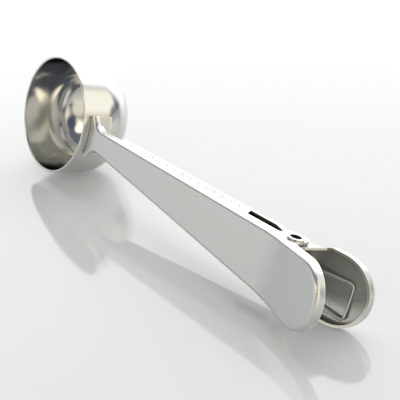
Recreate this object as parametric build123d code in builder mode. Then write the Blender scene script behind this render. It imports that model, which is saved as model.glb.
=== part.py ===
from build123d import *
from math import acos, atan2, ceil, cos, degrees, floor, hypot, pi, radians, sin, tan
import os

os.makedirs("parts", exist_ok=True)

# A measuring scoop whose handle is a spring clip for closing a bag, lying on its side.
# The spoon's own frame starts at the centre of the bowl's rim. Its x runs along the handle
# to the finger pads, its z comes straight out of the bowl's mouth, and its y lies across
# the handle. The upper jaw is the one on the mouth's side. Lengths are in millimetres.

# Resting attitude: how far the mouth looks up, how far the handle dips towards the pads,
# and where the rim's centre stands
mouth_lift = 17.5
handle_dip = 3.195
rim_x = -66.52
rim_y = -11.03

# Bowl, drawn from one sheet
bowl_radius = 21.5
bowl_depth = 28.7
bowl_wall = 0.8
dome_share = 0.86
shoulder_share = 0.87
rim_round = 0.3

# Sheet that both jaws are pressed from
sheet = 0.8
fold_round = 1.2
upper_bend_radius = 48.0
lower_bend_radius = 30.0

# Handle, seen square to its face: it widens steadily from the neck into the pad. A reach is
# measured from the bowl's wall towards the pads, a setback from the pivot towards the bowl
neck_reach = 8.5
neck_half_width = 4.26
pivot_reach = 108.0
pivot_half_width = 10.13

# Handle, seen from the side
face_drop = 2.6
seam_drop_front = 5.6
seam_drop_back = 8.2
back_drop_front = 9.7
back_drop_kink = 13.6
lower_front_reach = 14.0
lower_front_round = 1.8
upper_kink_setback = 3.1
lower_kink_setback = 5.5

# Finger pads, each as long as it stands out beyond the pivot, with a full round end
upper_pad_angle = 11.2
lower_pad_angle = 15.7
upper_pad_length = 25.4
lower_pad_length = 25.0
lower_pad_half_width = 11.4
upper_lip = 3.6
lower_lip = 3.05

# Foot that holds the bowl: a tab bent down along its wall and spot-welded to it
weld_gap = 0.05
foot_half_width = 7.2
foot_flare = 2.2
knee_reach = 4.3
knee_round = 6.0
tab_reach = 8.6
foot_lip = 2.2
foot_cut_width = 3.3
foot_trim = 0.05

# Interlocking teeth along the seam, and the slot between them and the pivot
tooth_pitch = 4.21
tooth_height = 1.9
first_tooth_reach = 18.9
seam_gap = 0.35
slot_setback = 6.1
slot_length = 17.5
slot_width = 3.5
slot_slant = 2.7
slot_round = 0.9

# Pivot: a tubular rivet through the ears of both jaws
rivet_radius = 2.3
rivet_bore_radius = 1.8
rivet_head_radius = 2.8
rivet_head_height = 0.5
rivet_round = 0.2
rivet_drop = 8.2
running_gap = 0.05
ear_radius = 4.7
ear_back = 2.3
ear_heel = 3.8
ear_gap = 0.3
jog_length = 5.0

# Torsion spring in one wire: two coils on the rivet, a square loop that joins their outer ends
# and a leg at each inner end. It has slid along the rivet
wire = 1.0
coil_gap = 0.6
coil_turns = 2
spring_gap = 0.3
spring_slide = 2.2
loop_reach = 18.2
loop_half_width = 5.9
loop_bend = 1.5
leg_reach = 14.0

# Spare length of every cut, the distance within which two edges are the same one, and the
# spacing of the points where the spring's gap to itself is measured
overrun = 2.0
same_place = 0.03
sample_step = 0.25

# The spoon's plane and the height of the rim's centre above the surface it lies on
lift = radians(mouth_lift)
dip = -radians(handle_dip)
dome_depth = dome_share * bowl_radius
straight_wall = bowl_depth - dome_depth
shoulder_radius = shoulder_share * dome_depth
mouth_rise = cos(dip) * sin(lift)
side_rise = hypot(sin(dip), cos(dip) * cos(lift))
rim_z = straight_wall * mouth_rise + (bowl_radius - shoulder_radius) * side_rise + shoulder_radius
knee_x = bowl_radius + knee_reach
neck_x = bowl_radius + neck_reach
lower_front_x = bowl_radius + lower_front_reach
first_tooth_x = bowl_radius + first_tooth_reach
pivot_x = bowl_radius + pivot_reach
slot_end_x = pivot_x - slot_setback
slot_start_x = slot_end_x - slot_length
lower_kink_x = pivot_x - lower_kink_setback
upper_kink_x = pivot_x - upper_kink_setback
lower_end_x = pivot_x + lower_pad_length
upper_end_x = pivot_x + upper_pad_length
along = Vector(cos(dip), 0, sin(dip))
out = Vector(-sin(lift) * sin(dip), -cos(lift), sin(lift) * cos(dip))
spoon = Plane(origin=(rim_x, rim_y, rim_z), x_dir=along, z_dir=out)
side = Plane(origin=spoon.origin, x_dir=spoon.x_dir, z_dir=-spoon.y_dir)
pivot = Plane(
    origin=spoon.from_local_coords(Vector(pivot_x, 0, -rivet_drop)),
    x_dir=spoon.x_dir,
    z_dir=-spoon.y_dir,
)

# Slopes that the outlines share
taper = (pivot_half_width - neck_half_width) / (pivot_x - neck_x)
taper_length = hypot(1, taper)
seam_slope = (seam_drop_back - seam_drop_front) / (slot_start_x - first_tooth_x)
upper_rise = tan(radians(upper_pad_angle))
lower_fall = tan(radians(lower_pad_angle))
ear_inset = sheet + ear_gap
reach_x = upper_end_x + overrun


def half_width(x):
    """Half the handle's width at x, which grows in a straight line from the neck."""
    return neck_half_width + (x - neck_x) * taper


def seam(x):
    """Height of the seam's middle line at x."""
    return -seam_drop_front - (x - first_tooth_x) * seam_slope


def upper_face(x):
    """Height of the upper jaw's outer face at x, beyond its bend."""
    return -face_drop + (x - upper_kink_x) * upper_rise


def lower_face(x):
    """Height of the lower jaw's outer face at x, beyond its bend."""
    return -back_drop_kink - (x - lower_kink_x) * lower_fall


def teeth(gap):
    """Corners of the teeth along the seam, from the slot to the front, moved down by the gap."""
    corners = [(slot_start_x + slot_slant / 2, seam(slot_start_x) - gap)]
    tooth_count = floor((slot_start_x - first_tooth_x) / tooth_pitch)
    for number in range(tooth_count, 0, -1):
        root_x = first_tooth_x + number * tooth_pitch
        tip_x = root_x - tooth_pitch / 2
        corners.append((root_x, seam(root_x) + tooth_height / 2 - gap))
        corners.append((tip_x, seam(tip_x) - tooth_height / 2 - gap))
    corners.append((first_tooth_x, seam(first_tooth_x) + tooth_height / 2 - gap))
    corners.append((first_tooth_x - tooth_pitch / 4, seam(first_tooth_x) - gap))
    return corners


def border(faces, direction):
    """Outer edges of the faces that look this way, which are the folds of a pressed sheet."""
    chosen = faces.filter_by(lambda face: face.normal_at(face.center()).dot(direction) > cos(lift))
    edges = chosen.edges()
    centres = [edge.center() for edge in edges]
    once = ShapeList()
    for edge, centre in zip(edges, centres):
        if sum((centre - other).length < same_place for other in centres) == 1:
            once.append(edge)
    return once


# Bowl: a straight wall above a dome of two arcs, a tight shoulder and a flatter crown, turned
# about the mouth's axis
inner_radius = bowl_radius - bowl_wall
shoulder_r = bowl_radius - shoulder_radius
crown_radius = (bowl_radius**2 + dome_depth**2 - 2 * bowl_radius * shoulder_radius) / (
    2 * (dome_depth - shoulder_radius)
)
crown_z = crown_radius - bowl_depth
lean = degrees(atan2(shoulder_r, crown_z + straight_wall))
with BuildPart() as bowl:
    with BuildSketch(side):
        with BuildLine():
            for skin in (0, bowl_wall):
                CenterArc((0, crown_z), crown_radius - skin, -90, lean)
                CenterArc((shoulder_r, -straight_wall), shoulder_radius - skin, lean - 90, 90 - lean)
            Polyline(
                (bowl_radius, -straight_wall),
                (bowl_radius, 0),
                (inner_radius, 0),
                (inner_radius, -straight_wall),
            )
            Line((0, bowl_wall - bowl_depth), (0, -bowl_depth))
        make_face()
    revolve(axis=Axis(spoon.origin, spoon.z_dir))
    rim_edges = bowl.edges().filter_by(
        lambda edge: abs(spoon.to_local_coords(edge.center()).Z) < rim_round / 2
    )
    fillet(rim_edges, rim_round)
bowl.part.label = "bowl"
export_step(bowl.part, "parts/bowl.step")

# Outline of the upper jaw, seen square to its face: the foot hollowed to fit the bowl, the
# neck, the long taper and the crowned pad
seat_radius = bowl_radius + weld_gap
tab_radius = seat_radius + sheet
foot_x = (seat_radius**2 - foot_half_width**2) ** 0.5
flare = 1 + foot_flare / seat_radius
upper_end_round = half_width(upper_end_x) / (taper_length + taper)
upper_side_x = upper_end_x - upper_end_round * (1 + taper / taper_length)
with BuildSketch() as upper_plan:
    with BuildLine():
        for hand in (1, -1):
            Polyline(
                (foot_x, hand * foot_half_width),
                (flare * foot_x, hand * flare * foot_half_width),
                (knee_x, hand * half_width(knee_x)),
                (upper_side_x, hand * half_width(upper_side_x)),
            )
        ThreePointArc(
            (upper_side_x, half_width(upper_side_x)),
            (upper_end_x, 0),
            (upper_side_x, -half_width(upper_side_x)),
        )
        ThreePointArc((foot_x, foot_half_width), (seat_radius, 0), (foot_x, -foot_half_width))
    make_face()
    fillet(upper_plan.vertices().filter_by(lambda v: abs(v.X - knee_x) < sheet), knee_round)

# Side of the upper jaw: the straight face, its bend, the raised pad, and the cut edge with
# its teeth, the slot and the ear round the rivet
heel_x = pivot_x + ear_heel
slot_end_height = seam(slot_end_x)
with BuildSketch() as upper_side:
    with BuildLine():
        Polyline(
            (0, -face_drop),
            (upper_kink_x, -face_drop),
            (reach_x, upper_face(reach_x)),
            (reach_x, upper_face(reach_x) - upper_lip),
            (heel_x, upper_face(heel_x) - upper_lip),
            (pivot_x + ear_back, -rivet_drop - ear_radius),
            (slot_end_x, -rivet_drop - ear_radius),
            (slot_end_x, slot_end_height + slot_width / 2),
            (slot_start_x + slot_slant, seam(slot_start_x) + slot_width / 2),
            *teeth(0),
            (tab_radius + sheet, -seam_drop_front),
            (tab_radius + sheet, -face_drop - tab_reach),
            (0, -face_drop - tab_reach),
            close=True,
        )
    make_face()
    fillet(
        upper_side.vertices().filter_by(
            lambda v: abs(v.X - upper_kink_x) < sheet and abs(v.Y + face_drop) < sheet
        ),
        upper_bend_radius,
    )
    fillet(
        upper_side.vertices().filter_by(
            lambda v: abs(v.Y + rivet_drop + ear_radius) < sheet / 2 and v.X > slot_end_x - sheet
        ),
        ear_back,
    )
    fillet(
        upper_side.vertices().filter_by(
            lambda v: slot_start_x < v.X < slot_end_x + sheet
            and abs(v.Y - seam(v.X) - slot_width / 2) < sheet / 2
        ),
        slot_round,
    )

# Hollow under the upper jaw's face, one sheet thickness inside it
with BuildSketch() as upper_inside:
    with BuildLine():
        Polyline(
            (0, -face_drop - sheet),
            (upper_kink_x, -face_drop - sheet),
            (reach_x, upper_face(reach_x) - sheet),
            (reach_x, -bowl_depth),
            (0, -bowl_depth),
            close=True,
        )
    make_face()
    fillet(
        upper_inside.vertices().filter_by(
            lambda v: abs(v.X - upper_kink_x) < sheet and abs(v.Y + face_drop + sheet) < sheet / 2
        ),
        upper_bend_radius + sheet,
    )

with BuildPart() as upper_hollow:
    with BuildSketch(spoon):
        add(upper_plan.sketch)
        offset(amount=-sheet, mode=Mode.REPLACE)
    extrude(amount=bowl_depth, both=True)
    with BuildSketch(side):
        add(upper_inside.sketch)
    extrude(amount=bowl_radius, both=True, mode=Mode.INTERSECT)

with BuildPart() as upper_jaw:
    with BuildSketch(spoon):
        add(upper_plan.sketch)
    extrude(amount=bowl_depth, both=True)
    with BuildSketch(side):
        add(upper_side.sketch)
    extrude(amount=bowl_radius, both=True, mode=Mode.INTERSECT)
    folds = border(upper_jaw.faces(), spoon.z_dir)
    fillet(
        folds.filter_by(lambda edge: spoon.to_local_coords(edge.center()).X > tab_radius), fold_round
    )
    fillet(
        folds.filter_by(
            lambda edge: abs(spoon.to_local_coords(edge.center()).X - seat_radius) < weld_gap
        ),
        sheet,
    )
    add(upper_hollow.part, mode=Mode.SUBTRACT)
    with BuildSketch(spoon.offset(-face_drop - foot_lip)):
        Circle(tab_radius + foot_cut_width)
        Circle(tab_radius - foot_trim, mode=Mode.SUBTRACT)
    extrude(amount=-bowl_depth, mode=Mode.SUBTRACT)
    with BuildSketch(pivot):
        Circle(rivet_radius + running_gap)
    extrude(amount=bowl_radius, both=True, mode=Mode.SUBTRACT)
upper_jaw.part.label = "upper_jaw"
export_step(upper_jaw.part, "parts/upper_jaw.step")

# Outline of the lower jaw: flush with the upper one along the teeth, then drawn in to pass
# inside its ears, and wide again in the pad
inside_x = slot_end_x - ear_gap
jog_x = inside_x - jog_length
spread_x = heel_x + ear_gap
lower_side_x = lower_end_x - lower_pad_half_width
with BuildSketch() as lower_plan:
    with BuildLine():
        for hand in (1, -1):
            Polyline(
                (lower_front_x, 0),
                (lower_front_x, hand * half_width(lower_front_x)),
                (jog_x, hand * half_width(jog_x)),
                (inside_x, hand * (half_width(inside_x) - ear_inset)),
                (spread_x, hand * (half_width(spread_x) - ear_inset)),
                (spread_x + jog_length, hand * lower_pad_half_width),
                (lower_side_x, hand * lower_pad_half_width),
            )
        ThreePointArc(
            (lower_side_x, lower_pad_half_width),
            (lower_end_x, 0),
            (lower_side_x, -lower_pad_half_width),
        )
    make_face()
    fillet(
        lower_plan.vertices().filter_by(
            lambda v: jog_x - sheet < v.X < spread_x + jog_length + sheet
        ),
        jog_length / 2,
    )
    fillet(
        lower_plan.vertices().filter_by(lambda v: abs(v.X - lower_front_x) < sheet and v.Y != 0),
        lower_front_round,
    )

# Side of the lower jaw: the back with its bend and lowered pad, and the cut edge that meets
# the upper jaw's
with BuildSketch() as lower_side:
    with BuildLine():
        Polyline(
            (lower_front_x, -back_drop_front),
            (lower_kink_x, -back_drop_kink),
            (reach_x, lower_face(reach_x)),
            (reach_x, lower_face(reach_x) + lower_lip),
            (heel_x + ear_heel, lower_face(heel_x + ear_heel) + lower_lip),
            (pivot_x + ear_radius, -rivet_drop),
            (pivot_x - ear_radius, -rivet_drop),
            (slot_end_x, slot_end_height - slot_width / 2),
            (slot_start_x, seam(slot_start_x) - slot_width / 2),
            *teeth(seam_gap),
            (lower_front_x, seam(lower_front_x) - seam_gap),
            close=True,
        )
    make_face()
    fillet(
        lower_side.vertices().filter_by(
            lambda v: abs(v.X - lower_kink_x) < sheet and abs(v.Y + back_drop_kink) < sheet
        ),
        lower_bend_radius,
    )
    fillet(
        lower_side.vertices().filter_by(
            lambda v: abs(v.X - lower_front_x) < sheet and abs(v.Y + back_drop_front) < sheet
        ),
        lower_front_round,
    )
    with Locations((pivot_x, -rivet_drop)):
        Circle(ear_radius)

# Hollow above the lower jaw's back, one sheet thickness inside it
with BuildSketch() as lower_inside:
    with BuildLine():
        Polyline(
            (lower_front_x, sheet - back_drop_front),
            (lower_kink_x, sheet - back_drop_kink),
            (reach_x, lower_face(reach_x) + sheet),
            (reach_x, 0),
            (lower_front_x, 0),
            close=True,
        )
    make_face()
    fillet(
        lower_inside.vertices().filter_by(
            lambda v: abs(v.X - lower_kink_x) < sheet and abs(v.Y + back_drop_kink - sheet) < sheet
        ),
        lower_bend_radius + sheet,
    )

with BuildPart() as lower_hollow:
    with BuildSketch(spoon):
        add(lower_plan.sketch)
        offset(amount=-sheet, mode=Mode.REPLACE)
    extrude(amount=-bowl_depth)
    with BuildSketch(side):
        add(lower_inside.sketch)
    extrude(amount=bowl_radius, both=True, mode=Mode.INTERSECT)

with BuildPart() as lower_jaw:
    with BuildSketch(spoon):
        add(lower_plan.sketch)
    extrude(amount=-bowl_depth)
    with BuildSketch(side):
        add(lower_side.sketch)
    extrude(amount=bowl_radius, both=True, mode=Mode.INTERSECT)
    fillet(border(lower_jaw.faces(), -spoon.z_dir), fold_round)
    add(lower_hollow.part, mode=Mode.SUBTRACT)
    with BuildSketch(pivot):
        Circle(rivet_radius + running_gap)
    extrude(amount=bowl_radius, both=True, mode=Mode.SUBTRACT)
lower_jaw.part.label = "lower_jaw"
export_step(lower_jaw.part, "parts/lower_jaw.step")

# Rivet: a tube through all four ears, rolled over into a low round head at each end
head_seat = half_width(pivot_x + rivet_head_radius) + running_gap
with BuildPart() as rivet:
    with BuildSketch(pivot):
        Circle(rivet_radius)
    extrude(amount=head_seat, both=True)
    for face_plane in (pivot.offset(head_seat), pivot.offset(-head_seat - rivet_head_height)):
        with BuildSketch(face_plane):
            Circle(rivet_head_radius)
        extrude(amount=rivet_head_height)
    with BuildSketch(pivot):
        Circle(rivet_bore_radius)
    extrude(amount=bowl_radius, both=True, mode=Mode.SUBTRACT)
    head_edges = rivet.edges().filter_by(
        lambda edge: abs(abs(pivot.to_local_coords(edge.center()).Z) - head_seat - rivet_head_height)
        < rivet_round / 2
    )
    fillet(head_edges, rivet_round)
rivet.part.label = "rivet"
export_step(rivet.part, "parts/rivet.step")

# Spring: the wire's middle line, worked out in the plane across the rivet that halves the
# spring, where x runs along the handle, y rises to the upper jaw and z crosses to an ear
seat = pivot.offset(spring_slide)
coil_radius = rivet_radius + spring_gap + wire / 2
coil_pitch = wire + coil_gap
ear_room = half_width(pivot_x - ear_radius) - ear_inset - sheet
outer_z = ear_room - spring_gap - wire / 2 - spring_slide
leg_x = pivot_x + leg_reach
leg_y = upper_face(leg_x) - sheet - spring_gap - wire / 2 + rivet_drop
loop_x = pivot_x + loop_reach
loop_y = lower_face(loop_x) + sheet + spring_gap + wire / 2 + rivet_drop


def place(x, y, z):
    """Point of the spring in the part's frame, from its place in the plane that halves it."""
    return seat.from_local_coords(Vector(x, y, z))


def touch_angle(x, y, above):
    """Angle round the coil where a straight wire from the point (x, y) meets it."""
    spread = acos(coil_radius / hypot(x, y))
    return atan2(y, x) + (spread if above else -spread)


def coil_point(angle, z):
    """Point on the coil at this angle."""
    return place(coil_radius * cos(angle), coil_radius * sin(angle), z)


leg_angle = touch_angle(leg_reach, leg_y, True)
loop_angle = touch_angle(loop_reach, loop_y, False) + 2 * pi
coil_sweep = loop_angle - leg_angle + 2 * pi * (coil_turns - 1)
climb = coil_pitch / (2 * pi)
inner_z = outer_z - climb * coil_sweep
leg_tip = place(leg_reach, leg_y, inner_z)
coil_start = coil_point(leg_angle, inner_z)
coil_end = coil_point(leg_angle + coil_sweep, outer_z)
loop_corner = place(loop_reach, loop_y, loop_half_width)
span_count = ceil(coil_sweep / (pi / 2))
points = []
tangents = []
for step in range(span_count + 1):
    share = step / span_count
    angle = leg_angle + coil_sweep * share
    points.append(coil_point(angle, inner_z + climb * coil_sweep * share))
    turning = place(-coil_radius * sin(angle), coil_radius * cos(angle), climb)
    tangents.append((turning - seat.origin).normalized())
tangents[0] = (coil_start - leg_tip).normalized()
tangents[-1] = (loop_corner - coil_end).normalized()


def biarc(start, start_tangent, end, end_tangent):
    """Middle point and tangent of the two equal-armed arcs that join two points smoothly."""
    chord = end - start
    both = start_tangent + end_tangent
    a = 2 * (1 - start_tangent.dot(end_tangent))
    b = chord.dot(both)
    arm = (-b + (b * b + a * chord.dot(chord)) ** 0.5) / a
    first = start + start_tangent * arm
    second = end - end_tangent * arm
    return (first + second) / 2, (second - first).normalized()


def flip(point):
    """The same point on the spring's other half."""
    return point - seat.z_dir * (2 * (point - seat.origin).dot(seat.z_dir))


def turn_over(tangent):
    """The same direction on the spring's other half."""
    return tangent - seat.z_dir * (2 * tangent.dot(seat.z_dir))


with BuildLine() as wire_line:
    Line(leg_tip, coil_start)
    for start, start_tangent, end, end_tangent in zip(points, tangents, points[1:], tangents[1:]):
        middle, middle_tangent = biarc(start, start_tangent, end, end_tangent)
        TangentArc(start, middle, tangent=start_tangent)
        TangentArc(middle, end, tangent=middle_tangent)
        TangentArc(flip(start), flip(middle), tangent=turn_over(start_tangent))
        TangentArc(flip(middle), flip(end), tangent=turn_over(middle_tangent))
    FilletPolyline(coil_end, loop_corner, flip(loop_corner), flip(coil_end), radius=loop_bend)
    Line(flip(coil_start), flip(leg_tip))
with BuildPart() as spring:
    with BuildSketch(Plane(origin=wire_line.wire() @ 0, z_dir=wire_line.wire() % 0)):
        Circle(wire / 2)
    sweep(path=wire_line.wire())
spring.part.label = "spring"
export_step(spring.part, "parts/spring.step")

# The wire's least gap to itself, leaving out the stretch that is simply its own next piece
sample_count = ceil(wire_line.wire().length / sample_step)
samples = [wire_line.wire() @ (number / sample_count) for number in range(sample_count + 1)]
apart = ceil(pi * wire / sample_step)
least = min(
    (first - second).length
    for index, first in enumerate(samples)
    for second in samples[index + apart:]
)
print("least gap between the spring's turns:", round(least - wire, 3))
swept = pi * (wire / 2) ** 2 * wire_line.wire().length
print("volume of the spring over its section times its length:", round(spring.part.volume / swept, 4))
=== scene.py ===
import bmesh
import bpy
import numpy as np
from mathutils import Matrix


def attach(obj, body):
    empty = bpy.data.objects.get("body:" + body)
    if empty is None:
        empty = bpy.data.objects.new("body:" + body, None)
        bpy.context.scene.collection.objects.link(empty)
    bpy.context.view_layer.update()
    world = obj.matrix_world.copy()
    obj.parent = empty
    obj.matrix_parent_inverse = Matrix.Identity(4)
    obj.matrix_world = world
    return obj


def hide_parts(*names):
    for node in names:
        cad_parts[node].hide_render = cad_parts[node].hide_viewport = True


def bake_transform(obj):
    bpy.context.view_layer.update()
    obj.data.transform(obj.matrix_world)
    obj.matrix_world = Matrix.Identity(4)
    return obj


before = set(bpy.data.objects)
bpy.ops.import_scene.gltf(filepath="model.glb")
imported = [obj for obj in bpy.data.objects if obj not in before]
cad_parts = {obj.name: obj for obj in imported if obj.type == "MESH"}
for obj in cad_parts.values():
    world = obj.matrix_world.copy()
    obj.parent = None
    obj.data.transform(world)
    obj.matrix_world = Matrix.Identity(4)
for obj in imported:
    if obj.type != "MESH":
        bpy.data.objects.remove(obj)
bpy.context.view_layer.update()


# The bowl: one disc of stainless sheet drawn deep into a round cup with a straight wall above
# a dome and a rounded rim, welded to the tab of the upper jaw. The outside is buffed bright
# on a wheel and the inside keeps the softer shine of the drawing tool.
mouth_lift = np.radians(17.5)
handle_dip = -np.radians(3.195)
rim_centre = np.array([-66.52, -11.03, 24.3162]) / 1000
spoon_x = np.array([np.cos(handle_dip), 0, np.sin(handle_dip)])
spoon_z = np.array(
    [
        -np.sin(mouth_lift) * np.sin(handle_dip),
        -np.cos(mouth_lift),
        np.sin(mouth_lift) * np.cos(handle_dip),
    ]
)
spoon_y = np.cross(spoon_z, spoon_x)
spoon_axes = np.stack([spoon_x, spoon_y, spoon_z])

bowl_radius = 0.0215
bowl_depth = 0.0287
bowl_wall = 0.0008
dome_depth = 0.01849
shoulder_radius = 0.0160863
rim_round = 0.00034
bowl_turns = 256
arc_rows = 48
wall_rows = 16
rim_rows = 7


def bowl_side(skin):
    """Half the bowl's side, a skin's thickness in: a flat arc R1 round the pole, the tighter
    arc R2 of the shoulder that meets it smoothly, each (c + R sin t, h - R cos t), and the wall."""
    foot = bowl_radius - shoulder_radius
    crown = (bowl_radius**2 + dome_depth**2 - 2 * bowl_radius * shoulder_radius) / (
        2 * (dome_depth - shoulder_radius)
    )
    wall_low, crown_high = dome_depth - bowl_depth, crown - bowl_depth
    lean = np.arctan2(foot, crown_high - wall_low)
    turn = np.linspace(0, lean, arc_rows)
    cap = np.stack([(crown - skin) * np.sin(turn), crown_high - (crown - skin) * np.cos(turn)], 1)
    turn = np.linspace(lean, np.pi / 2, arc_rows)[1:]
    curve = shoulder_radius - skin
    shoulder = np.stack([foot + curve * np.sin(turn), wall_low - curve * np.cos(turn)], 1)
    wall_top = np.linspace(wall_low, -rim_round, wall_rows)[1:-1]
    wall = np.stack([np.full_like(wall_top, bowl_radius - skin), wall_top], 1)
    return np.concatenate([cap, shoulder, wall])


def rim_roll(centre, start, end):
    """Arc of the rim's round about a centre, from one angle to another, as points
    (c + R cos t, R sin t - R)."""
    turn = np.linspace(start, end, rim_rows)
    return np.stack([centre + rim_round * np.cos(turn), -rim_round + rim_round * np.sin(turn)], 1)


def ring_faces(rows, steps):
    """Quads between neighbouring rows of a grid whose every row is a closed ring."""
    index = np.arange(rows * steps).reshape(rows, steps)
    here, below = index[:-1], index[1:]
    quads = np.stack([here, np.roll(here, -1, 1), np.roll(below, -1, 1), below], 2)
    return quads.reshape(-1, 4).tolist()


def mesh_object(name, points, faces):
    """A new object at the origin, made of the given points and faces."""
    mesh = bpy.data.meshes.new(name)
    mesh.from_pydata(points.reshape(-1, 3).tolist(), [], faces)
    made = bpy.data.objects.new(name, mesh)
    bpy.context.collection.objects.link(made)
    return made


def turned(name, profile, steps, origin, axes):
    """Surface of revolution: each profile point (r, h) goes to (r cos t, r sin t, h). The
    profile's two ends lie on the axis, as poles."""
    turn = np.linspace(0, 2 * np.pi, steps, endpoint=False)
    r, h = profile[:, 0], profile[:, 1]
    ring = np.stack(
        [np.outer(r, np.cos(turn)), np.outer(r, np.sin(turn)), np.outer(h, np.ones(steps))], 2
    )
    return mesh_object(name, origin + ring @ axes, ring_faces(len(profile), steps))


def seal(piece, join):
    """Merges the points that fall together at poles and seams and turns every face outwards."""
    work = bmesh.new()
    work.from_mesh(piece.data)
    bmesh.ops.remove_doubles(work, verts=work.verts, dist=join)
    bmesh.ops.recalc_face_normals(work, faces=work.faces)
    for face in work.faces:
        face.smooth = True
    work.to_mesh(piece.data)
    work.free()


bowl_profile = np.concatenate(
    [
        bowl_side(0),
        rim_roll(bowl_radius - rim_round, 0, np.pi / 2),
        rim_roll(bowl_radius - bowl_wall + rim_round, np.pi / 2, np.pi),
        bowl_side(bowl_wall)[::-1],
    ]
)
bowl = turned("scoop_bowl", bowl_profile, bowl_turns, rim_centre, spoon_axes)
seal(bowl, 1e-7)


def new_material(name):
    """An empty node material with its Principled shader, as (material, nodes, links, shader)."""
    material = bpy.data.materials.new(name)
    material.use_nodes = True
    nodes, links = material.node_tree.nodes, material.node_tree.links
    return material, nodes, links, nodes["Principled BSDF"]


def map_range(nodes, links, value, reach, result=(0, 1), smooth=False):
    """A value mapped from one reach to another, held at the ends, as an output socket."""
    spread = nodes.new("ShaderNodeMapRange")
    if smooth:
        spread.interpolation_type = "SMOOTHSTEP"
    spread.inputs["From Min"].default_value, spread.inputs["From Max"].default_value = reach
    spread.inputs["To Min"].default_value, spread.inputs["To Max"].default_value = result
    links.new(value, spread.inputs["Value"])
    return spread.outputs["Result"]


def mix_colour(nodes, links, mask, under, over):
    """A plain colour laid over another by a mask. The one under it is a colour or an output."""
    mix = nodes.new("ShaderNodeMix")
    mix.data_type = "RGBA"
    lower, upper, mixed = mix.inputs[6], mix.inputs[7], mix.outputs[2]
    links.new(mask, mix.inputs["Factor"])
    if isinstance(under, bpy.types.NodeSocket):
        links.new(under, lower)
    else:
        lower.default_value = under
    upper.default_value = over
    return mixed


def use_group(nodes, group, **values):
    """A node of a shared group with its inputs set."""
    node = nodes.new("ShaderNodeGroup")
    node.node_tree = group
    for name, value in values.items():
        node.inputs[name].default_value = value
    return node


def new_group(name, vectors, floats, results):
    """An empty shared group with its sockets, as (group, nodes, links, inputs, outputs)."""
    group = bpy.data.node_groups.new(name, "ShaderNodeTree")
    for way, kind, titles in (
        ("INPUT", "NodeSocketVector", vectors),
        ("INPUT", "NodeSocketFloat", floats),
        ("OUTPUT", "NodeSocketFloat", results),
    ):
        for title in titles:
            group.interface.new_socket(title, in_out=way, socket_type=kind)
    source, sink = group.nodes.new("NodeGroupInput"), group.nodes.new("NodeGroupOutput")
    return group, group.nodes, group.links, source.outputs, sink.inputs


def place_on_spoon(nodes, links, scale):
    """Object coordinates turned into the spoon's own frame and stretched by the scale."""
    where = nodes.new("ShaderNodeTexCoord")
    turn = nodes.new("ShaderNodeMapping")
    turn.vector_type = "TEXTURE"
    turn.inputs["Location"].default_value = rim_centre.tolist()
    turn.inputs["Rotation"].default_value = Matrix(spoon_axes.T.tolist()).to_euler()
    turn.inputs["Scale"].default_value = [1 / s for s in scale]
    links.new(where.outputs["Object"], turn.inputs["Vector"])
    return turn.outputs["Vector"]


def buffing_group():
    """Fine marks left by buffing: a stretched noise as a tone and as a height."""
    group, nodes, links, given, result = new_group(
        "buffing_marks", ["Vector"], ["Fine", "Coarse"], ["Tone", "Height"]
    )
    noises = []
    for scale, detail in (("Fine", 3), ("Coarse", 4)):
        noise = nodes.new("ShaderNodeTexNoise")
        noise.inputs["Detail"].default_value = detail
        noise.inputs["Roughness"].default_value = 0.6
        links.new(given["Vector"], noise.inputs["Vector"])
        links.new(given[scale], noise.inputs["Scale"])
        noises.append(noise.outputs["Fac"])
    fine, coarse = noises
    blend = nodes.new("ShaderNodeMix")
    blend.inputs["Factor"].default_value = 0.4
    links.new(coarse, blend.inputs[2])
    links.new(fine, blend.inputs[3])
    links.new(blend.outputs[0], result["Tone"])
    links.new(fine, result["Height"])
    return group


def wear_and_highlight_group():
    """Edges made bright, partly rubbed and partly a painted highlight: where a rounded normal
    leaves the true one, the mask rises to 1.
    """
    group, nodes, links, given, result = new_group("edge_wear_and_highlight", [], ["Width"], ["Edge"])
    rounded = nodes.new("ShaderNodeBevel")
    rounded.samples = 6
    true_way = nodes.new("ShaderNodeNewGeometry")
    dot = nodes.new("ShaderNodeVectorMath")
    dot.operation = "DOT_PRODUCT"
    links.new(given["Width"], rounded.inputs["Radius"])
    links.new(rounded.outputs["Normal"], dot.inputs[0])
    links.new(true_way.outputs["Normal"], dot.inputs[1])
    links.new(map_range(nodes, links, dot.outputs["Value"], (0.99, 0.80)), result["Edge"])
    return group


def hollow_shade_group():
    """Painted shade in hollows: one mask rises to 1 where walls close in, the other only in
    the heart of a closed channel."""
    group, nodes, links, given, result = new_group("hollow_shade", [], ["Reach"], ["Depth", "Heart"])
    around = nodes.new("ShaderNodeAmbientOcclusion")
    around.samples = 6
    around.only_local = True
    links.new(given["Reach"], around.inputs["Distance"])
    for name, open_and_closed in (("Depth", (0.85, 0.35)), ("Heart", (0.35, 0.15))):
        links.new(map_range(nodes, links, around.outputs["AO"], open_and_closed), result[name])
    return group


buffing_marks = buffing_group()
edge_wear_and_highlight = wear_and_highlight_group()
hollow_shade = hollow_shade_group()
# Reach of the painted shade in hollows, and the painted bluish light in the heart of a closed
# channel
hollow_shade_reach = 0.012
painted_blue_light = (0.58, 0.62, 0.76, 1)
tone_span = (0.3, 0.7)
mark_depth = 0.0001


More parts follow.
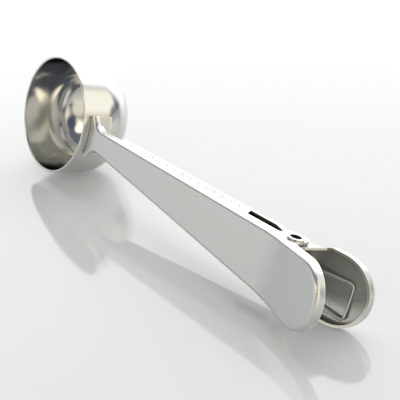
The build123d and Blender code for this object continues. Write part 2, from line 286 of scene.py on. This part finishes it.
def steel(name, tones, rough, marks, stretch, bump, wear_and_highlight, edge, painted_shade):
    """Stainless steel: its tone and roughness follow the buffing marks, its edges are brighter
    than its faces, partly rubbed and partly a painted highlight, and its hollows carry painted
    shade, with a painted bluish light deep inside."""
    material, nodes, links, shader = new_material(name)
    shader.inputs["Metallic"].default_value = 1
    grain = use_group(nodes, buffing_marks, Fine=marks[0], Coarse=marks[1])
    links.new(place_on_spoon(nodes, links, stretch), grain.inputs["Vector"])
    edge_mask = use_group(nodes, edge_wear_and_highlight, Width=edge)
    deep = use_group(nodes, hollow_shade, Reach=hollow_shade_reach)
    colour = mix_colour(nodes, links, grain.outputs["Tone"], *tones)
    # Edges painted brighter, partly rubbed and partly a painted highlight, then painted shade in
    # the hollows and a painted bluish light in the heart of a closed channel
    colour = mix_colour(nodes, links, edge_mask.outputs["Edge"], colour, wear_and_highlight)
    colour = mix_colour(nodes, links, deep.outputs["Depth"], colour, painted_shade)
    colour = mix_colour(nodes, links, deep.outputs["Heart"], colour, painted_blue_light)
    links.new(colour, shader.inputs["Base Color"])
    haze = map_range(nodes, links, grain.outputs["Tone"], tone_span, rough)
    links.new(haze, shader.inputs["Roughness"])
    relief = nodes.new("ShaderNodeBump")
    relief.inputs["Strength"].default_value = bump
    relief.inputs["Distance"].default_value = mark_depth
    links.new(grain.outputs["Height"], relief.inputs["Height"])
    links.new(relief.outputs["Normal"], shader.inputs["Normal"])
    return material


bowl_steel = steel(
    "bowl_steel",
    tones=((0.61, 0.605, 0.585, 1), (0.68, 0.675, 0.65, 1)),
    rough=(0.05, 0.12),
    marks=(500, 60),
    stretch=(1, 1, 4),
    bump=0.05,
    # The edge colour below is partly rubbed brightness and partly a painted highlight; the last
    # colour is painted shade in the hollows
    wear_and_highlight=(0.93, 0.92, 0.88, 1),
    edge=0.0004,
    painted_shade=(0.55, 0.56, 0.57, 1),
)
inside_haze, switch = 0.02, 0.001
nodes, links = bowl_steel.node_tree.nodes, bowl_steel.node_tree.links
shader = nodes["Principled BSDF"]
place, way = nodes.new("ShaderNodeTexCoord"), nodes.new("ShaderNodeNewGeometry")
from_middle, outward = nodes.new("ShaderNodeVectorMath"), nodes.new("ShaderNodeVectorMath")
from_middle.operation, outward.operation = "SUBTRACT", "DOT_PRODUCT"
from_middle.inputs[1].default_value = (rim_centre - 0.5 * bowl_depth * spoon_z).tolist()
links.new(place.outputs["Object"], from_middle.inputs[0])
links.new(from_middle.outputs["Vector"], outward.inputs[0])
links.new(way.outputs["Normal"], outward.inputs[1])
inside = map_range(nodes, links, outward.outputs["Value"], (-switch, switch), (inside_haze, 0))
rougher = nodes.new("ShaderNodeMath")
rougher.operation = "ADD"
links.new(shader.inputs["Roughness"].links[0].from_socket, rougher.inputs[0])
links.new(inside, rougher.inputs[1])
links.new(rougher.outputs["Value"], shader.inputs["Roughness"])
bowl.data.materials.append(bowl_steel)
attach(bowl, "scoop")
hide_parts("bowl")

# The upper and lower jaws: two channels pressed from stainless sheet, satin along their length
# on their broad faces, with their cut edges bright, partly rubbed and partly a painted highlight,
# and painted shade in their hollows. Their ears turn on the rivet. They are
# the imported solids themselves.
jaw_material = steel(
    "jaw_satin_steel",
    tones=((0.59, 0.595, 0.585, 1), (0.645, 0.65, 0.64, 1)),
    rough=(0.25, 0.33),
    marks=(900, 160),
    stretch=(0.06, 1, 1),
    bump=0.08,
    # The edge colour below is partly rubbed brightness and partly a painted highlight; the last
    # colour is painted shade in the hollows
    wear_and_highlight=(0.98, 0.94, 0.80, 1),
    edge=0.0011,
    painted_shade=(0.31, 0.30, 0.285, 1),
)
for name in ("upper_jaw", "lower_jaw"):
    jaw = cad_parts[name]
    jaw.data.materials.clear()
    jaw.data.materials.append(jaw_material)

# The rivet: a thin stainless tube through all four ears, its ends rolled outwards into low
# round heads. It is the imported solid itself, with the bright, slightly uneven skin of a
# rolled tube.
rivet_material = steel(
    "rivet_steel",
    tones=((0.62, 0.61, 0.58, 1), (0.80, 0.79, 0.75, 1)),
    rough=(0.15, 0.30),
    marks=(900, 200),
    stretch=(1, 1, 1),
    bump=0.10,
    # The edge colour below is partly rubbed brightness and partly a painted highlight; the last
    # colour is painted shade in the hollows
    wear_and_highlight=(0.93, 0.90, 0.82, 1),
    edge=0.0003,
    painted_shade=(0.30, 0.30, 0.32, 1),
)
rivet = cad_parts["rivet"]
rivet.data.materials.clear()
rivet.data.materials.append(rivet_material)

# The spring: hard drawn stainless wire wound on the rivet in two coils, with a straight leg
# on each side against the upper pad and a square loop between them on the lower pad.
wire = 0.0010
rivet_centre = rim_centre + np.array([0.1295, 0, -0.0082]) @ spoon_axes
spring_slide = 0.0022
coil_radius = 0.0031
inner_z = 0.00272
outer_z = 0.00495
leg_end = np.array([0.0140, 0.00739])
loop_end = np.array([0.0182, -0.01046])
loop_half = 0.0059
loop_bend = 0.0015
wire_sides = 20
leg_rows, coil_rows, side_rows, bend_rows, bar_rows = 24, 160, 40, 14, 12


def touch_angle(point, above):
    """Angle round the coil at which a straight wire from the point meets it."""
    spread = np.arccos(coil_radius / np.hypot(*point))
    return np.arctan2(point[1], point[0]) + (spread if above else -spread)


def spring_half():
    """Middle line of half the spring in the rivet's plane: a leg, then a helix whose rise eases
    in and out as t - sin(2 pi t) / 2 pi, then the loop's side, its bend and half its end."""
    leg_angle = touch_angle(leg_end, True)
    sweep = touch_angle(loop_end, False) + 2 * np.pi - leg_angle + 2 * np.pi
    t = np.linspace(0, 1, coil_rows)
    angle = leg_angle + sweep * t
    rise = t - np.sin(2 * np.pi * t) / (2 * np.pi)
    coil = np.stack(
        [
            coil_radius * np.cos(angle),
            coil_radius * np.sin(angle),
            inner_z + (outer_z - inner_z) * rise,
        ],
        1,
    )
    leg_tip = np.append(leg_end, inner_z)
    leg = leg_tip + np.linspace(0, 1, leg_rows)[:-1, None] * (coil[0] - leg_tip)
    corner = np.append(loop_end, loop_half)
    run = (corner - coil[-1]) / np.linalg.norm(corner - coil[-1])
    across = np.array([0, 0, -1.0])
    turn = np.arccos(run @ across)
    start = corner - run * loop_bend * np.tan(turn / 2)
    side = coil[-1] + np.linspace(0, 1, side_rows)[1:-1, None] * (start - coil[-1])
    inwards = across - run * (across @ run)
    inwards /= np.linalg.norm(inwards)
    round_angle = np.linspace(0, turn, bend_rows)[:, None]
    bend = start + loop_bend * (np.sin(round_angle) * run + (1 - np.cos(round_angle)) * inwards)
    end = np.append(loop_end, 0)
    bar = bend[-1] + np.linspace(0, 1, bar_rows)[1:-1, None] * (end - bend[-1])
    line = np.concatenate([leg, coil, side, bend, bar])
    facing = np.cross(np.gradient(line, axis=0), [0, 0, 1.0])
    facing[len(leg) + len(coil):] = np.cross(run, [0, 0, 1.0])
    return line, facing / np.linalg.norm(facing, axis=1)[:, None]


def spring_wire(name):
    """A circle carried along the spring's line: the line, its mirrored half run backwards, and
    at each point r (cos a N + sin a B), with N in the rivet's plane and B square to it."""
    line, facing = spring_half()
    mirror = np.array([1, 1, -1.0])
    line = np.concatenate([line, (line * mirror)[::-1]])
    facing = np.concatenate([facing, facing[::-1]])
    way = np.gradient(line, axis=0)
    way /= np.linalg.norm(way, axis=1)[:, None]
    facing -= way * np.sum(way * facing, 1)[:, None]
    facing /= np.linalg.norm(facing, axis=1)[:, None]
    beside = np.cross(way, facing)
    turn = np.linspace(0, 2 * np.pi, wire_sides, endpoint=False)[None, :, None]
    ring = np.cos(turn) * facing[:, None] + np.sin(turn) * beside[:, None]
    rivet_axes = np.stack([spoon_x, spoon_z, -spoon_y])
    points = (line[:, None] + wire / 2 * ring) @ rivet_axes
    points += rivet_centre - spring_slide * spoon_y
    rows = len(line)
    first_end = list(range(wire_sides))
    last_end = list(range((rows - 1) * wire_sides, rows * wire_sides))
    return mesh_object(name, points, ring_faces(rows, wire_sides) + [first_end, last_end])


spring = spring_wire("spring_wire")
seal(spring, 1e-8)
spring_material = steel(
    "spring_steel",
    tones=((0.50, 0.50, 0.49, 1), (0.70, 0.70, 0.68, 1)),
    rough=(0.16, 0.30),
    marks=(1500, 300),
    stretch=(1, 1, 1),
    bump=0.10,
    # The edge colour below is partly rubbed brightness and partly a painted highlight; the last
    # colour is painted shade in the hollows
    wear_and_highlight=(0.80, 0.80, 0.78, 1),
    edge=0.0001,
    painted_shade=(0.42, 0.42, 0.42, 1),
)
spring.data.materials.append(spring_material)
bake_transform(spring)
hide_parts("spring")

# The setting: a sheet of glossy white board that fades into plain white far off and glows faintly
# all over, a painted glow that lifts its shadows and lights the object from below, in a room
# with a bright window behind, cream walls at the sides and a dim bluish ceiling.
half_floor = 6.0
fade = (0.3, 0.8)
floor = mesh_object(
    "white_board",
    half_floor * np.array([[-1, -1, 0], [1, -1, 0], [1, 1, 0], [-1, 1, 0]]),
    [(0, 1, 2, 3)],
)
floor_material, nodes, links, shader = new_material("white_board")
shader.inputs["Base Color"].default_value = (0.40, 0.412, 0.415, 1)
# A faint glow over the whole board: a painted glow that lifts the shadows on it and lights the
# object from below
shader.inputs["Emission Color"].default_value = (0.93, 0.95, 0.95, 1)
shader.inputs["Emission Strength"].default_value = 0.185
shader.inputs["Roughness"].default_value = 0.07
shader.inputs["IOR"].default_value = 1.7
where = nodes.new("ShaderNodeTexCoord")
far = nodes.new("ShaderNodeVectorMath")
far.operation = "LENGTH"
links.new(where.outputs["Object"], far.inputs[0])
ray = nodes.new("ShaderNodeLightPath")
seen = nodes.new("ShaderNodeMath")
seen.operation = "MULTIPLY"
links.new(map_range(nodes, links, far.outputs["Value"], fade, smooth=True), seen.inputs[0])
links.new(ray.outputs["Is Camera Ray"], seen.inputs[1])
plain = nodes.new("ShaderNodeEmission")
plain.inputs["Color"].default_value = (1, 1, 1, 1)
blend = nodes.new("ShaderNodeMixShader")
links.new(seen.outputs["Value"], blend.inputs["Fac"])
links.new(shader.outputs["BSDF"], blend.inputs[1])
links.new(plain.outputs["Emission"], blend.inputs[2])
links.new(blend.outputs["Shader"], nodes["Material Output"].inputs["Surface"])
floor.data.materials.append(floor_material)


def patch_group():
    """A soft patch of the room: a mask that is 1 near its middle way and 0 beyond its edge,
    both given as cosines of the angle from the middle."""
    group, nodes, links, given, result = new_group(
        "room_patch", ["Way", "Middle"], ["Core", "Edge"], ["Mask"]
    )
    dot = nodes.new("ShaderNodeVectorMath")
    dot.operation = "DOT_PRODUCT"
    soft = nodes.new("ShaderNodeMapRange")
    soft.interpolation_type = "SMOOTHSTEP"
    links.new(given["Way"], dot.inputs[0])
    links.new(given["Middle"], dot.inputs[1])
    links.new(dot.outputs["Value"], soft.inputs["Value"])
    links.new(given["Edge"], soft.inputs["From Min"])
    links.new(given["Core"], soft.inputs["From Max"])
    links.new(soft.outputs["Result"], result["Mask"])
    return group


world = bpy.data.worlds.new("room")
bpy.context.scene.world = world
world.use_nodes = True
nodes, links = world.node_tree.nodes, world.node_tree.links
way_in = nodes.new("ShaderNodeTexCoord")
room_patch = patch_group()
ceiling = nodes.new("ShaderNodeRGB")
ceiling.outputs[0].default_value = (0.17, 0.19, 0.24, 1)
room = ceiling.outputs[0]
# Each patch is laid over the ones before it: its azimuth, its elevation, the radius of its
# even core and of its outer edge, all in degrees, and its colour
patches = (
    (-122, 2, 12, 46, (0.90, 0.90, 0.87, 1)),
    (6, 20, 20, 46, (1.40, 1.27, 0.95, 1)),
    (-100, 27, 13, 30, (1.02, 0.98, 0.88, 1)),
    (-64, 39, 9, 19, (2.6, 2.45, 1.93, 1)),
    (135, 24, 34, 62, (2.1, 2.1, 2.1, 1)),
    (124, 66, 4, 30, (2.0, 2.0, 2.0, 1)),
    (50, 26, 13, 29, (1.44, 1.39, 1.24, 1)),
    (57, -3, 8, 20, (0.34, 0.35, 0.35, 1)),
    (-68, 14, 10, 28, (0.45, 0.43, 0.38, 1)),
    (-53, 9, 7, 20, (1.05, 1.0, 0.84, 1)),
    (-36, 38, 8, 20, (0.10, 0.12, 0.17, 1)),
)
for azimuth, elevation, core, edge, colour in patches:
    turn, rise = np.radians(azimuth), np.radians(elevation)
    middle = (np.cos(turn) * np.cos(rise), np.sin(turn) * np.cos(rise), np.sin(rise))
    patch = use_group(
        nodes, room_patch,
        Middle=middle, Core=np.cos(np.radians(core)), Edge=np.cos(np.radians(edge)),
    )
    links.new(way_in.outputs["Generated"], patch.inputs["Way"])
    room = mix_colour(nodes, links, patch.outputs["Mask"], room, colour)
glance = nodes.new("ShaderNodeLightPath")
room = mix_colour(nodes, links, glance.outputs["Is Camera Ray"], room, (1, 1, 1, 1))
links.new(room, nodes["Background"].inputs["Color"])

# One square soft light over the object, towards the window. The steel and the board don't
# mirror it, because the patch at its place in the room stands for it there.
light = bpy.data.lights.new("overhead_light", "AREA")
light.size, light.energy = 1.1, 4
lamp = bpy.data.objects.new("overhead_light", light)
bpy.context.collection.objects.link(lamp)
lamp.location = (-0.38, 0.58, 1.35)
lamp.rotation_mode = "QUATERNION"
lamp.rotation_quaternion = lamp.location.to_track_quat("Z", "Y")
lamp.visible_glossy = False

# The camera stands where the photograph was taken from, with a long lens.
sight = bpy.data.cameras.new("camera")
sight.sensor_width = 36
sight.lens = 105.9
sight.clip_start = 0.01
camera = bpy.data.objects.new("camera", sight)
bpy.context.collection.objects.link(camera)
right = (0.56835, 0.82244, -0.02403)
up = (-0.35594, 0.2721, 0.89402)
back = (0.74181, -0.49956, 0.44738)
stand = (0.299961, -0.193112, 0.190033)
turned_to = Matrix((right, up, back)).transposed().to_4x4()
camera.matrix_world = Matrix.Translation(stand) @ turned_to
bpy.context.scene.camera = camera
bpy.context.scene.view_settings.view_transform = "Standard"
